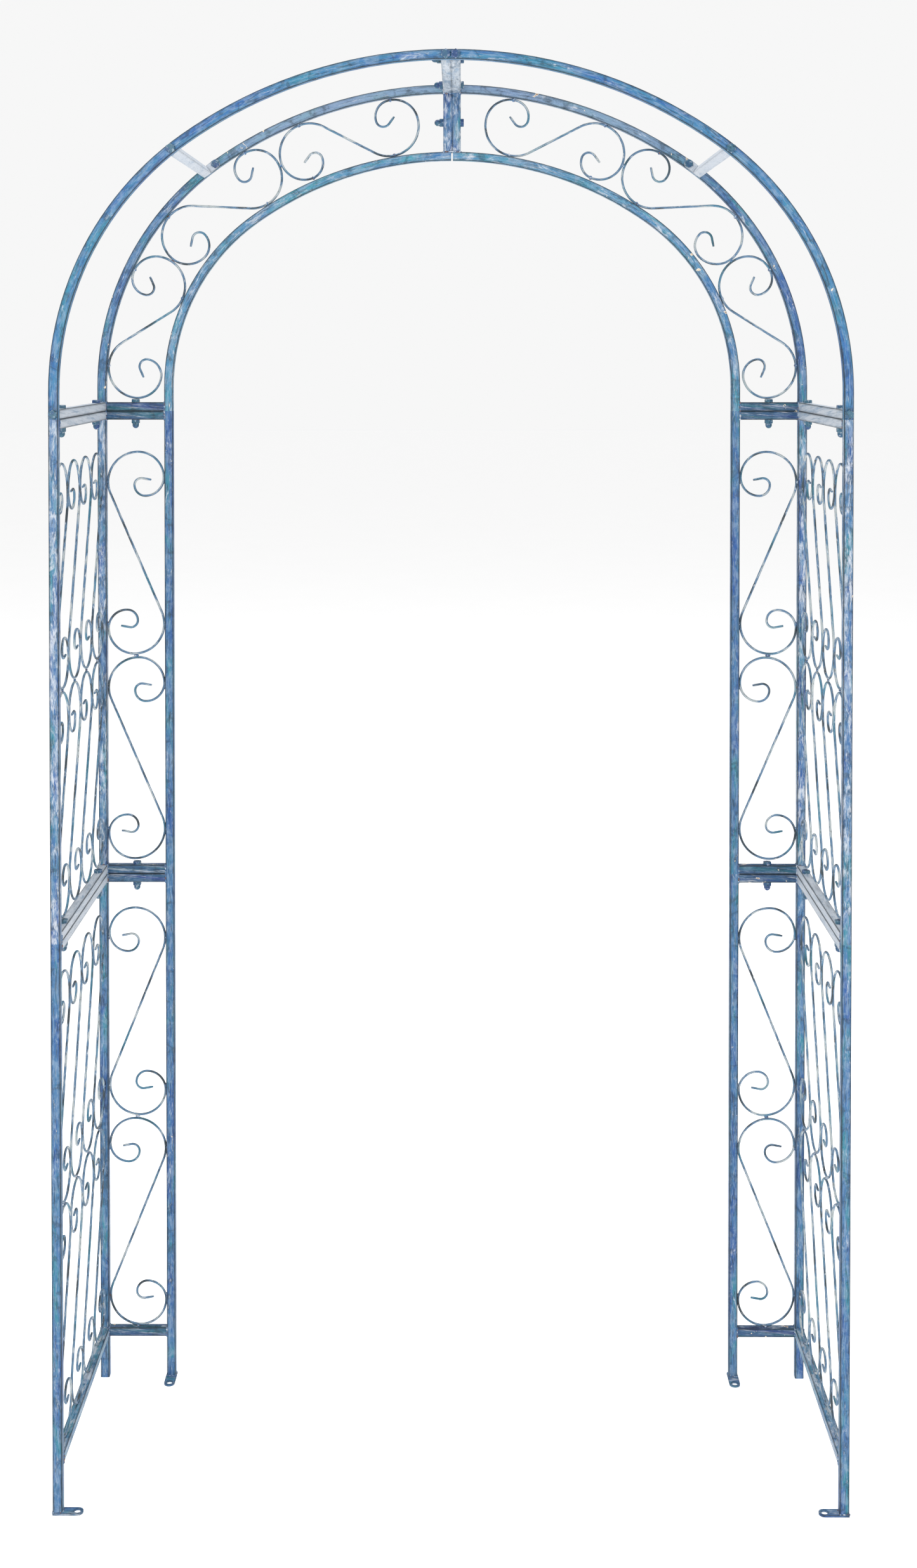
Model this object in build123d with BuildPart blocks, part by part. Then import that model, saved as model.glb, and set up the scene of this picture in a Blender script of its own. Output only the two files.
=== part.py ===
from build123d import *
import math
import os

os.makedirs("parts", exist_ok=True)

# A garden arch of square steel tube with scrolled wire infill. Millimetres, +Z up.
# The origin is on the ground in the middle of the arch. The front faces -Y, "right" is +X.
# Each side stands on three posts in an L: a front post, a rear corner post and an inner post.
# Two leg units are stacked on each side, and the arch, in two halves, stands on them.

# Tube
tube_side = 15
tube_wall = 1
tube_corner = 1.5
tube_bore = tube_side - 2 * tube_wall
bore_corner = tube_corner - tube_wall
half_tube = tube_side / 2

# Overall sizes
overall_width = 1220
overall_depth = 430
panel_width = 100
lower_height = 880
upper_height = 800
springing = lower_height + upper_height
side_columns = 4

# Arch: each quarter hoop is a short straight foot, a shoulder arc and a crown arc.
# The front hoop and the outer one at the rear are alike, and the inner hoop runs inside it.
shoulder_turn = 55
hoop_half_span = overall_width / 2 - half_tube
hoop_offset = panel_width + tube_side
hoop_straight = 40.7
outer_shoulder = 470
inner_end_gap = 1.5
crown_bar_trim = 0.2

# Scrolls: each loop is a chain of tangent arcs that tighten quarter by quarter
wire_diameter = 4
panel_loop = (52, 44, 32, 18.5, 12)
panel_end_turn = 10
panel_tail = 15
panel_lean = 4
upper_scroll_height = 353
lower_scroll_height = 365
scroll_gap = 2.5
upper_scroll_base = 8
lower_scroll_base = 1.5
arch_loop = (51.8, 41.3, 28, 12.5)
arch_end_turn = 35
arch_tail = 15
arch_scroll_length = 250.6
arch_scroll_start = 147
arch_scroll_pitch = 251.4
arch_scroll_inset = (6.2, 6.0, 4.0)
arch_scroll_tilt = (-3.25, -3.55, -3.35)

# Rails
foot_thickness = 3
bottom_rail_base = 72

# Shoulder ties: each lies square to the hoops and ends in a flat tab at the rear
shoulder_tie_angle = 51.8
tab_thickness = 2.5
tab_reach = 22.6

# Foot plates
foot_width = 18
foot_reach = 31
foot_hole_diameter = 11

# Fasteners
bolt_diameter = 8
bolt_hole_diameter = 8.5
head_across_flats = 13
head_height = 5.3
head_chamfer = 0.7
long_bolt_length = 39
short_bolt_length = 27
tip_chamfer = 0.8
nut_hex_height = 6.5
nut_height = 15
nut_dome_diameter = 11
nut_bore_diameter = 8.1
nut_bore_depth = 11
insert_side = 11.8
insert_length = 14
crown_bolts = (40, 355)

# Derived places: the arch's bounding box is centred on Y = 0
front_face = -(overall_depth + nut_height - head_height) / 2
rear_face = front_face + overall_depth
front_row = front_face + half_tube
rear_row = rear_face - half_tube
tie_front = front_face + tube_side
tie_rear = rear_face - tube_side
outer_column = hoop_half_span
inner_column = outer_column - hoop_offset
side_length = overall_depth - 2 * tube_side
bolt_ends = (panel_width / 2, side_length - panel_width / 2)
sides = (("left", -1), ("right", 1))

# Derived hoop shape: the crown arc brings the hoop level at the middle of the arch
bend_turn = math.radians(shoulder_turn)
shoulder_centre_x = hoop_half_span - outer_shoulder
shoulder_centre_z = springing + hoop_straight
outer_crown = outer_shoulder + shoulder_centre_x / math.cos(bend_turn)
crown_centre_z = shoulder_centre_z - shoulder_centre_x * math.tan(bend_turn)
crown_top = crown_centre_z + outer_crown

# Derived places on the hoops: the shoulder tie, and the bolt through its tab
tie_turn = math.radians(shoulder_tie_angle)
tie_x = shoulder_centre_x + outer_shoulder * math.cos(tie_turn)
tie_z = shoulder_centre_z + outer_shoulder * math.sin(tie_turn)
tab_x = tie_x - tab_reach * math.sin(tie_turn)
tab_z = tie_z + tab_reach * math.cos(tie_turn)


def save(part, name):
    part.label = name
    export_step(part, f"parts/{name}.step")


def tube(plane, length, cross_holes=()):
    """A straight square tube along a plane's normal, bored across its local Y."""
    with BuildPart() as piece:
        with BuildSketch(plane):
            RectangleRounded(tube_side, tube_side, tube_corner)
            RectangleRounded(tube_bore, tube_bore, bore_corner, mode=Mode.SUBTRACT)
        extrude(amount=length)
        for place in cross_holes:
            with Locations(plane.location * Location((0, 0, place), (90, 0, 0))):
                Cylinder(bolt_hole_diameter / 2, 2 * tube_side, mode=Mode.SUBTRACT)
    return piece.part


def hoop(side, row, inward=0, end_gap=0, bores=()):
    """A bent quarter hoop from its foot to the middle of the arch, inward of the outer one."""
    start = side * (hoop_half_span - inward)
    foot = Plane(origin=(start, row, springing), x_dir=(1, 0, 0), z_dir=(0, 0, 1))
    with BuildPart() as piece:
        with BuildLine(Plane.XZ.offset(-row)) as path:
            leg = Line((start, springing), (start, shoulder_centre_z))
            bend = JernArc(leg @ 1, leg % 1, outer_shoulder - inward, side * shoulder_turn)
            JernArc(bend @ 1, bend % 1, outer_crown - inward, side * (90 - shoulder_turn))
        with BuildSketch(foot):
            RectangleRounded(tube_side, tube_side, tube_corner)
            RectangleRounded(tube_bore, tube_bore, bore_corner, mode=Mode.SUBTRACT)
        sweep(path=path.line)
        if end_gap:
            keep = Keep.BOTTOM if side < 0 else Keep.TOP
            split(bisect_by=Plane.YZ.offset(side * end_gap), keep=keep)
        for across, height in bores:
            with Locations(Location((side * across, row, height), (90, 0, 0))):
                Cylinder(bolt_hole_diameter / 2, 2 * tube_side, mode=Mode.SUBTRACT)
    return piece.part


def scroll(height, loop, lean, end_turn, tail):
    """An S of round wire in the XZ plane, centred on the origin, its stem rising to +X."""
    drop = height / 2 - loop[0] - wire_diameter / 2
    reach = math.hypot(drop, lean)
    slope = math.asin(loop[0] / reach) - math.atan2(lean, drop)
    half_stem = math.sqrt(reach**2 - loop[0] ** 2)
    stem_end = (-half_stem * math.sin(slope), -half_stem * math.cos(slope))
    stem_top = (-stem_end[0], -stem_end[1])
    with BuildPart() as wire:
        with BuildLine(Plane.XZ) as path:
            stem = Line(stem_top, stem_end)
            for start, heading in ((stem @ 1, stem % 1), (stem @ 0, stem % 0 * -1)):
                turn = 90 + math.degrees(slope)
                for radius in loop:
                    arc = JernArc(start, heading, radius, turn)
                    start, heading, turn = arc @ 1, arc % 1, 90
                arc = JernArc(start, heading, loop[-1], end_turn)
                Line(arc @ 1, (arc @ 1) + (arc % 1) * tail)
        with BuildSketch(path.wire() ^ 0):
            Circle(wire_diameter / 2)
        sweep(path=path.wire())
    return wire.part


def mirrored(part):
    """The same piece with left and right exchanged."""
    with BuildPart() as piece:
        add(part)
        mirror(about=Plane.YZ, mode=Mode.REPLACE)
    return piece.part


def group(part, places):
    """One node that holds a copy of a piece at each place."""
    with BuildPart() as piece:
        with Locations(*places):
            add(part)
    return piece.part


# Scroll shapes: a stem rising to +X, and its mirror image
panel_shape = (panel_loop, panel_lean, panel_end_turn, panel_tail)
upper_scroll = scroll(upper_scroll_height, *panel_shape)
lower_scroll = scroll(lower_scroll_height, *panel_shape)
arch_scroll = scroll(arch_scroll_length, arch_loop, 0, arch_end_turn, arch_tail)
scroll_pairs = {
    "upper": (upper_scroll, mirrored(upper_scroll)),
    "lower": (lower_scroll, mirrored(lower_scroll)),
}


def leg_unit(side_name, side, level):
    """Posts, rails and scroll panels of one welded leg unit."""
    name = f"{side_name}_{level}"
    lower = level == "lower"
    base = 0 if lower else lower_height
    top = lower_height if lower else springing
    rail_base = bottom_rail_base if lower else lower_height
    scroll_height = lower_scroll_height if lower else upper_scroll_height
    first_scroll = lower_scroll_base if lower else upper_scroll_base
    outer = side * outer_column
    inner = side * inner_column

    posts = {"front": (outer, front_row), "rear": (outer, rear_row), "inner": (inner, rear_row)}
    for post, (x, y) in posts.items():
        on_plate = lower and post != "rear"
        start = foot_thickness if on_plate else base
        save(tube(Plane((x, y, start)), top - start), f"{name}_{post}_post")

    back_start = min(inner, outer) + half_tube
    levels = {"bottom": rail_base + half_tube, "top": top - half_tube}
    for rail, z in levels.items():
        bolted = not (lower and rail == "bottom")
        side_plane = Plane((outer, tie_front, z), x_dir=(1, 0, 0), z_dir=(0, 1, 0))
        back_plane = Plane((back_start, rear_row, z), x_dir=(0, 1, 0), z_dir=(1, 0, 0))
        side_holes = bolt_ends if bolted else ()
        back_holes = (panel_width / 2,) if bolted else ()
        save(tube(side_plane, side_length, side_holes), f"{name}_side_{rail}_rail")
        save(tube(back_plane, panel_width, back_holes), f"{name}_back_{rail}_rail")

    centre = rail_base + tube_side + first_scroll + scroll_height / 2
    heights = (centre, centre + scroll_height + scroll_gap)
    columns = [tie_front + panel_width * (column + 0.5) for column in range(side_columns)]
    # Seen from outside on either side, a side stem rises towards the rear
    side_places = [Location((outer, y, z), (0, 0, 90)) for y in columns for z in heights]
    save(group(scroll_pairs[level][0], side_places), f"{name}_side_scrolls")
    # Behind, the upper stems rise outwards and the lower stems rise inwards
    stem_side = -side if lower else side
    back_scroll = scroll_pairs[level][0 if stem_side > 0 else 1]
    panel_middle = (outer + inner) / 2
    back_places = [Location((panel_middle, rear_row, z)) for z in heights]
    save(group(back_scroll, back_places), f"{name}_back_scrolls")


def ring_place(distance, inset, tilt):
    """Place and turn at a distance along the middle of the ring between the rear hoops."""
    middle_shoulder = outer_shoulder - hoop_offset / 2
    middle_crown = outer_crown - hoop_offset / 2
    past_shoulder = distance - hoop_straight - middle_shoulder * bend_turn
    if past_shoulder < 0:
        turn = (distance - hoop_straight) / middle_shoulder
        radius = middle_shoulder
        centre = (shoulder_centre_x, shoulder_centre_z)
    else:
        turn = bend_turn + past_shoulder / middle_crown
        radius = middle_crown
        centre = (0, crown_centre_z)
    x = centre[0] + (radius - inset) * math.cos(turn)
    z = centre[1] + (radius - inset) * math.sin(turn)
    return Location((x, rear_row, z), (0, -math.degrees(turn) - tilt, 0))


def arch_quarter(name, side):
    """One side of the arch: three hoops, the bars and ties that join them, and scrolls."""
    # Hoops
    front_bores = (
        (outer_column, springing + half_tube),
        (tie_x, tie_z),
        (half_tube, crown_top),
    )
    save(hoop(side, front_row, bores=front_bores), f"{name}_front_hoop")
    save(hoop(side, rear_row, bores=[(tab_x, tab_z)]), f"{name}_rear_hoop")
    save(hoop(side, rear_row, hoop_offset, inner_end_gap), f"{name}_inner_hoop")

    # Bars between the two rear hoops
    middle_x = side * half_tube
    bar_start = min(side * inner_column, side * outer_column) + half_tube
    bar_height = springing + half_tube
    base_plane = Plane((bar_start, rear_row, bar_height), x_dir=(0, 1, 0), z_dir=(1, 0, 0))
    save(tube(base_plane, panel_width, (panel_width / 2,)), f"{name}_base_bar")
    bar_foot = crown_top - half_tube - panel_width
    crown_plane = Plane((middle_x, rear_row, bar_foot), x_dir=(0, 1, 0), z_dir=(0, 0, 1))
    crown_bar = tube(crown_plane, panel_width - crown_bar_trim, (panel_width / 2,))
    save(crown_bar, f"{name}_crown_bar")

    # Ties to the front hoop at the springing and at the crown
    low_place = (side * outer_column, tie_front, bar_height)
    low_plane = Plane(low_place, x_dir=(1, 0, 0), z_dir=(0, 1, 0))
    save(tube(low_plane, side_length, bolt_ends), f"{name}_base_tie")
    high_place = (middle_x, tie_front, crown_top)
    high_plane = Plane(high_place, x_dir=(0, 0, 1), z_dir=(0, 1, 0))
    save(tube(high_plane, side_length, crown_bolts), f"{name}_crown_tie")

    # Shoulder tie: a tube that stops at a flat tab, which lies on the rear hoop's front
    along = (-side * math.sin(tie_turn), 0, math.cos(tie_turn))
    tab_front = tie_rear - tab_thickness
    tie_plane = Plane((side * tie_x, tie_front, tie_z), x_dir=along, z_dir=(0, 1, 0))
    tab_middle = (side * (tie_x + tab_x) / 2, tab_front, (tie_z + tab_z) / 2)
    with BuildPart() as shoulder_tie:
        add(tube(tie_plane, side_length - tab_thickness))
        with BuildSketch(Plane(tab_middle, x_dir=along, z_dir=(0, 1, 0))):
            SlotCenterToCenter(tab_reach, tube_side)
            with Locations((tab_reach / 2, 0)):
                Circle(bolt_hole_diameter / 2, mode=Mode.SUBTRACT)
        extrude(amount=tab_thickness)
    save(shoulder_tie.part, f"{name}_shoulder_tie")

    # Scrolls between the two rear hoops
    places = []
    for index, (inset, tilt) in enumerate(zip(arch_scroll_inset, arch_scroll_tilt)):
        distance = arch_scroll_start + index * arch_scroll_pitch
        places.append(ring_place(distance, inset, tilt))
    scrolls = group(mirrored(arch_scroll), places)
    save(scrolls if side > 0 else mirrored(scrolls), f"{name}_arch_scrolls")


def bolt(length):
    """A hexagon bolt whose head stands on +Z and whose shank goes down."""
    with BuildPart() as piece:
        with BuildSketch():
            RegularPolygon(head_across_flats / 2, 6, major_radius=False, rotation=30)
        extrude(amount=head_height)
        chamfer(piece.edges().group_by(Axis.Z)[-1], head_chamfer)
        with BuildSketch():
            Circle(bolt_diameter / 2)
        extrude(amount=-length)
        chamfer(piece.faces().sort_by(Axis.Z)[0].edges(), tip_chamfer)
    return piece.part


def cap_nut():
    """A domed cap nut that stands on its hexagon, with the dome at the top."""
    dome = nut_dome_diameter / 2
    with BuildPart() as piece:
        with BuildSketch():
            RegularPolygon(head_across_flats / 2, 6, major_radius=False, rotation=30)
        extrude(amount=nut_hex_height)
        chamfer(piece.edges().group_by(Axis.Z)[-1], head_chamfer)
        with BuildSketch(Plane.XZ):
            with BuildLine():
                Polyline((0, 0), (dome, 0), (dome, nut_height - dome))
                RadiusArc((dome, nut_height - dome), (0, nut_height), -dome)
                Line((0, nut_height), (0, 0))
            make_face()
        revolve(axis=Axis.Z)
        with BuildSketch():
            Circle(nut_bore_diameter / 2)
        extrude(amount=nut_bore_depth, mode=Mode.SUBTRACT)
    return piece.part


def threaded_insert():
    """A square plug for a tie's front end, bored for the short bolt."""
    with BuildPart() as piece:
        with BuildSketch(Plane.XZ):
            Rectangle(insert_side, insert_side)
            Circle(nut_bore_diameter / 2, mode=Mode.SUBTRACT)
        extrude(amount=-insert_length)
    return piece.part


def foot_plate():
    """A flat tab that lies under a post and reaches out along +X, with one hole."""
    end_radius = foot_width / 2
    length = tube_side + foot_reach - end_radius
    with BuildPart() as piece:
        with BuildSketch():
            with Locations((-half_tube, 0)):
                Rectangle(length, foot_width, align=(Align.MIN, Align.CENTER))
            with Locations((length - half_tube, 0)):
                Circle(end_radius)
                Circle(foot_hole_diameter / 2, mode=Mode.SUBTRACT)
        extrude(amount=foot_thickness)
    return piece.part


for side_name, side in sides:
    for level in ("lower", "upper"):
        leg_unit(side_name, side, level)
    arch_quarter(side_name, side)

# Foot plates: the front posts' tabs point to the middle, the inner posts' tabs to the front
plate_places = [
    Location((-outer_column, front_row, 0)),
    Location((outer_column, front_row, 0), (0, 0, 180)),
    Location((-inner_column, rear_row, 0), (0, 0, -90)),
    Location((inner_column, rear_row, 0), (0, 0, -90)),
]
save(group(foot_plate(), plate_places), "foot_plates")

# Long bolts go through two stacked tubes, with a cap nut on the far side
long_places = []
nut_places = []
for side_name, side in sides:
    spots = [(side * outer_column, tie_front + along) for along in bolt_ends]
    spots.append((side * (outer_column + inner_column) / 2, rear_row))
    for joint in (lower_height, springing):
        for x, y in spots:
            long_places.append(Location((x, y, joint + tube_side)))
            nut_places.append(Location((x, y, joint - tube_side), (180, 0, 0)))
crown_spots = [(tie_front + along, crown_top) for along in crown_bolts]
crown_spots.append((rear_row, crown_top - half_tube - panel_width / 2))
for y, z in crown_spots:
    long_places.append(Location((tube_side, y, z), (0, 90, 0)))
    nut_places.append(Location((-tube_side, y, z), (0, -90, 0)))
save(group(bolt(long_bolt_length), long_places), "long_bolts")

# Short bolts: front hoops to the inserts in their ties, and shoulder tabs to the rear hoops
short_places = []
insert_places = []
for side_name, side in sides:
    tie_ends = (
        (outer_column, springing + half_tube, 0),
        (tie_x, tie_z, side * (90 - shoulder_tie_angle)),
        (half_tube, crown_top, 0),
    )
    for x, z, slant in tie_ends:
        short_places.append(Location((side * x, front_face, z), (90, 0, 0)))
        insert_places.append(Location((side * x, tie_front, z), (0, slant, 0)))
    short_places.append(Location((side * tab_x, tie_rear - tab_thickness, tab_z), (90, 0, 0)))
    nut_places.append(Location((side * tab_x, rear_face, tab_z), (-90, 0, 0)))
save(group(bolt(short_bolt_length), short_places), "short_bolts")
save(group(threaded_insert(), insert_places), "tie_end_inserts")
save(group(cap_nut(), nut_places), "cap_nuts")
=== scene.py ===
"""Looks of the metal trellis arch: brushed paint, smooth wire scrolls, weld beads, light and camera."""
import math
import random

import bpy
from mathutils import Matrix, Vector


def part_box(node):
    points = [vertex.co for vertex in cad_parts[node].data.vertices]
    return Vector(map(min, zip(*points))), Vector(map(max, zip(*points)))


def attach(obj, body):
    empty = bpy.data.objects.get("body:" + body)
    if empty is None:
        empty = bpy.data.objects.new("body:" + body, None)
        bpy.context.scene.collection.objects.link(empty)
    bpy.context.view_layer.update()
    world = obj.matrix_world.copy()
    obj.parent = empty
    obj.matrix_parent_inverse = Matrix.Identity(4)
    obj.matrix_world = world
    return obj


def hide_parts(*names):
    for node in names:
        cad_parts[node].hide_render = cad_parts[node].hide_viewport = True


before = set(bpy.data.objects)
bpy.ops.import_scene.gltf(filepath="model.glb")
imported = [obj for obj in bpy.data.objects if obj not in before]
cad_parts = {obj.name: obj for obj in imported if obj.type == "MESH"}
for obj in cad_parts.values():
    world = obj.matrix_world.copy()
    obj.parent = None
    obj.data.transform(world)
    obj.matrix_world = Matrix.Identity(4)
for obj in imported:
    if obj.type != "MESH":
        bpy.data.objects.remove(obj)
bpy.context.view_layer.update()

# Tube, panel column and wire, in metres; a cut wire end is a little thinner
TUBE = 0.015
HALF_TUBE = TUBE / 2
PANEL = 0.1
COLUMNS = 4
WIRE_RADIUS = 0.002
WIRE_SIDES = 10
CUT_END = 0.8
ARC_STEP = math.radians(5)

# Scrolls: loop radii from the stem inwards, in metres
PANEL_LOOP = (0.052, 0.044, 0.032, 0.0185, 0.012)
PANEL_LEAN = 0.004
PANEL_END_TURN = math.radians(10)
PANEL_TAIL = 0.015
ARCH_LOOP = (0.0518, 0.0413, 0.028, 0.0125)
ARCH_SCROLL = 0.2506
ARCH_END_TURN = math.radians(35)
ARCH_TAIL = 0.015
ARCH_START = 0.147
ARCH_PITCH = 0.2514
ARCH_INSET = (0.0062, 0.0060, 0.0040)
ARCH_TILT = (-3.25, -3.55, -3.35)
SCROLL_GAP = 0.0025

# Outer hoops: straight foot, then a shoulder arc and a crown arc
SHOULDER_TURN = math.radians(55)
STRAIGHT = 0.0407
SHOULDER = 0.470

# Places read from the frame
post_low, post_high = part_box("right_upper_front_post")
hoop_low, hoop_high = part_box("right_rear_hoop")
inner_low, inner_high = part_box("right_lower_inner_post")
rail_low, rail_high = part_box("right_lower_side_bottom_rail")
OUTER = (post_low[0] + post_high[0]) / 2
INNER = (inner_low[0] + inner_high[0]) / 2
FRONT_ROW = (post_low[1] + post_high[1]) / 2
REAR_ROW = (hoop_low[1] + hoop_high[1]) / 2
MID_JOINT = post_low[2]
SPRINGING = post_high[2]
RAIL_BASE = rail_low[2]
TIE_FRONT = rail_low[1]
TIE_REAR = rail_high[1]
SHOULDER_X = OUTER - SHOULDER
SHOULDER_Z = SPRINGING + STRAIGHT
CROWN = SHOULDER + SHOULDER_X / math.cos(SHOULDER_TURN)
CROWN_Z = SHOULDER_Z - SHOULDER_X * math.tan(SHOULDER_TURN)
LEVELS = {"lower": (RAIL_BASE, MID_JOINT), "upper": (MID_JOINT, SPRINGING)}
SIDES = {"left": -1, "right": 1}


def srgb(red, green, blue):
    """A display colour given in 0 to 255, as linear RGBA."""
    values = [value / 255 for value in (red, green, blue)]
    linear = [v / 12.92 if v <= 0.04045 else ((v + 0.055) / 1.055) ** 2.4 for v in values]
    return (*linear, 1)


COBALT = srgb(34, 78, 138)
STEEL = srgb(58, 104, 146)
TEAL = srgb(40, 116, 136)
LAVENDER = srgb(132, 154, 176)
WASH = srgb(192, 198, 206)
# EDGE is the dark of the dark strokes and grit, and also of the painted shade on the tubes' edges
EDGE = srgb(26, 40, 48)
RUST = srgb(116, 84, 66)
CREAM = srgb(222, 208, 186)
TIE_GREY = srgb(176, 184, 192)
WIRE_DARK = srgb(52, 62, 68)
WIRE_BLUE = srgb(86, 116, 144)
WIRE_PALE = srgb(160, 168, 170)

# Each set of hues is used in turn along a tube
HUES = (COBALT, STEEL, TEAL)
DARK_HUES = (srgb(28, 56, 112), srgb(34, 76, 112), srgb(26, 88, 106))
# Pale hues of the side rails and ties: a real pale wash, lifted further by a painted sheen
SHEEN_AND_WASH_HUES = (LAVENDER, TIE_GREY, WASH)
AZURE_HUES = (srgb(34, 88, 148), srgb(48, 108, 150), srgb(42, 118, 148))
SKY_HUES = (srgb(46, 104, 154), srgb(66, 124, 158), srgb(56, 134, 154))
GREY_HUES = (srgb(112, 130, 148), TIE_GREY, LAVENDER)

# Heights between which the rear hoop fades to lavender, in metres
BLEACH_LOW = 2.06
BLEACH_HIGH = 2.17

# Reach of the painted shade on the edges from a corner, wide and faint under narrow and dark, in metres
WIDE_EDGE_SHADE = 0.0042
NARROW_EDGE_SHADE = 0.0016
WIDE_BEVEL = 0.004
NARROW_BEVEL = 0.0018
CORNER = 0.0004

# Shifts along the run, so that neighbours show different stretches of paint. Rails and ties shift
# by their height, scrolls by their number and by the length of their node's name.
RIGHT_SHIFT = 5.3
OUTER_SHIFT = 11.7
REAR_SHIFT = 17.1
UPPER_SHIFT = 3.9
HOOP_SHIFT = 7.0
RAIL_SHIFT = 9.0
SCROLL_SHIFT = 2.0
PANEL_SHIFT = 11.0


# Materials -----------------------------------------------------------------


class Graph:
    """Short calls for building a material's node tree."""

    def __init__(self, name):
        self.material = bpy.data.materials.new(name)
        self.material.use_nodes = True
        self.tree = self.material.node_tree
        self.tree.nodes.clear()

    def add(self, kind, inputs, **settings):
        node = self.tree.nodes.new(kind)
        for key, value in settings.items():
            setattr(node, key, value)
        for key, value in inputs.items():
            if isinstance(value, bpy.types.NodeSocket):
                self.tree.links.new(value, node.inputs[key])
            else:
                node.inputs[key].default_value = value
        return node

    def math(self, operation, first, second=0.0, third=0.0):
        inputs = {0: first, 1: second, 2: third}
        return self.add("ShaderNodeMath", inputs, operation=operation).outputs[0]

    def between(self, value, low, high, out_low=0.0, out_high=1.0):
        """A smooth step of a value from low to high."""
        inputs = {"Value": value, 1: low, 2: high, 3: out_low, 4: out_high}
        return self.add("ShaderNodeMapRange", inputs, interpolation_type="SMOOTHSTEP").outputs[0]

    def mix(self, share, first, second):
        inputs = {0: share, 6: first, 7: second}
        return self.add("ShaderNodeMix", inputs, data_type="RGBA").outputs[2]

    def noise(self, place, stretch, detail=3.0, roughness=0.55, distortion=0.0, shift=0.0):
        """Noise over a place vector, stretched along it and finer across it."""
        inputs = {"Vector": place, "Location": (shift, shift, shift), "Scale": stretch}
        mapped = self.add("ShaderNodeMapping", inputs).outputs[0]
        inputs = {
            "Vector": mapped,
            "Scale": 1.0,
            "Detail": detail,
            "Roughness": roughness,
            "Distortion": distortion,
        }
        return self.add("ShaderNodeTexNoise", inputs).outputs[0]

    def object_place(self):
        return self.add("ShaderNodeTexCoord", {}).outputs["Object"]

    def vector(self, x, y, z):
        return self.add("ShaderNodeCombineXYZ", {0: x, 1: y, 2: z}).outputs[0]


def flow_along(axis):
    """Place along a straight tube first, then across it."""

    def build(graph):
        split = graph.add("ShaderNodeSeparateXYZ", {0: graph.object_place()})
        order = {"X": (0, 1, 2), "Y": (1, 0, 2), "Z": (2, 0, 1)}[axis]
        return graph.vector(*(split.outputs[index] for index in order))

    return build


def folded(graph, value, low, high):
    """Distance from the nearer of two places, less than 0 between them."""
    from_middle = graph.math("SUBTRACT", value, (low + high) / 2)
    return graph.math("SUBTRACT", graph.math("ABSOLUTE", from_middle), (high - low) / 2)


def flow_post(graph):
    """Place along a post, then across it from its own middle."""
    x, y, z = graph.add("ShaderNodeSeparateXYZ", {0: graph.object_place()}).outputs
    width = graph.math("ABSOLUTE", x)
    run = graph.math("MULTIPLY_ADD", graph.math("GREATER_THAN", x, 0.0), RIGHT_SHIFT, z)
    outside = graph.math("GREATER_THAN", width, (OUTER + INNER) / 2)
    run = graph.math("MULTIPLY_ADD", outside, OUTER_SHIFT, run)
    run = graph.math("MULTIPLY_ADD", graph.math("GREATER_THAN", y, 0.0), REAR_SHIFT, run)
    upper = graph.math("GREATER_THAN", z, MID_JOINT)
    run = graph.math("MULTIPLY_ADD", upper, UPPER_SHIFT, run)
    across = folded(graph, width, INNER, OUTER)
    return graph.vector(run, across, folded(graph, y, FRONT_ROW, REAR_ROW))


def rail_height(graph, z):
    """Height from the middle of whichever rail is near."""
    upper = folded(graph, z, MID_JOINT, SPRINGING)
    upper = graph.math("SUBTRACT", graph.math("ABSOLUTE", upper), HALF_TUBE)
    lowest = graph.math("SUBTRACT", z, RAIL_BASE + HALF_TUBE)
    return choose(graph, graph.math("GREATER_THAN", z, MID_JOINT / 2), lowest, upper)


def flow_back_rail(graph):
    """Place along a rail or bar at the back, then across it from its own middle."""
    x, y, z = graph.add("ShaderNodeSeparateXYZ", {0: graph.object_place()}).outputs
    across = graph.math("SUBTRACT", y, REAR_ROW)
    run = graph.math("MULTIPLY_ADD", z, RAIL_SHIFT, x)
    return graph.vector(run, across, rail_height(graph, z))


def flow_side_rail(graph):
    """Place along a side rail or tie, then across it from its own middle."""
    x, y, z = graph.add("ShaderNodeSeparateXYZ", {0: graph.object_place()}).outputs
    across = graph.math("SUBTRACT", graph.math("ABSOLUTE", x), OUTER)
    run = graph.math("MULTIPLY_ADD", z, RAIL_SHIFT, y)
    run = graph.math("MULTIPLY_ADD", graph.math("GREATER_THAN", x, 0.0), RIGHT_SHIFT, run)
    return graph.vector(run, across, rail_height(graph, z))


def tube_edge(graph, place, reach):
    """How near a place is to a square tube's corner: 0 on the flats, 1 on the corner."""
    _, across, other = graph.add("ShaderNodeSeparateXYZ", {0: place}).outputs
    near = [
        graph.between(graph.math("ABSOLUTE", value), HALF_TUBE - reach, HALF_TUBE - CORNER)
        for value in (across, other)
    ]
    return graph.math("MULTIPLY", *near)


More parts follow.
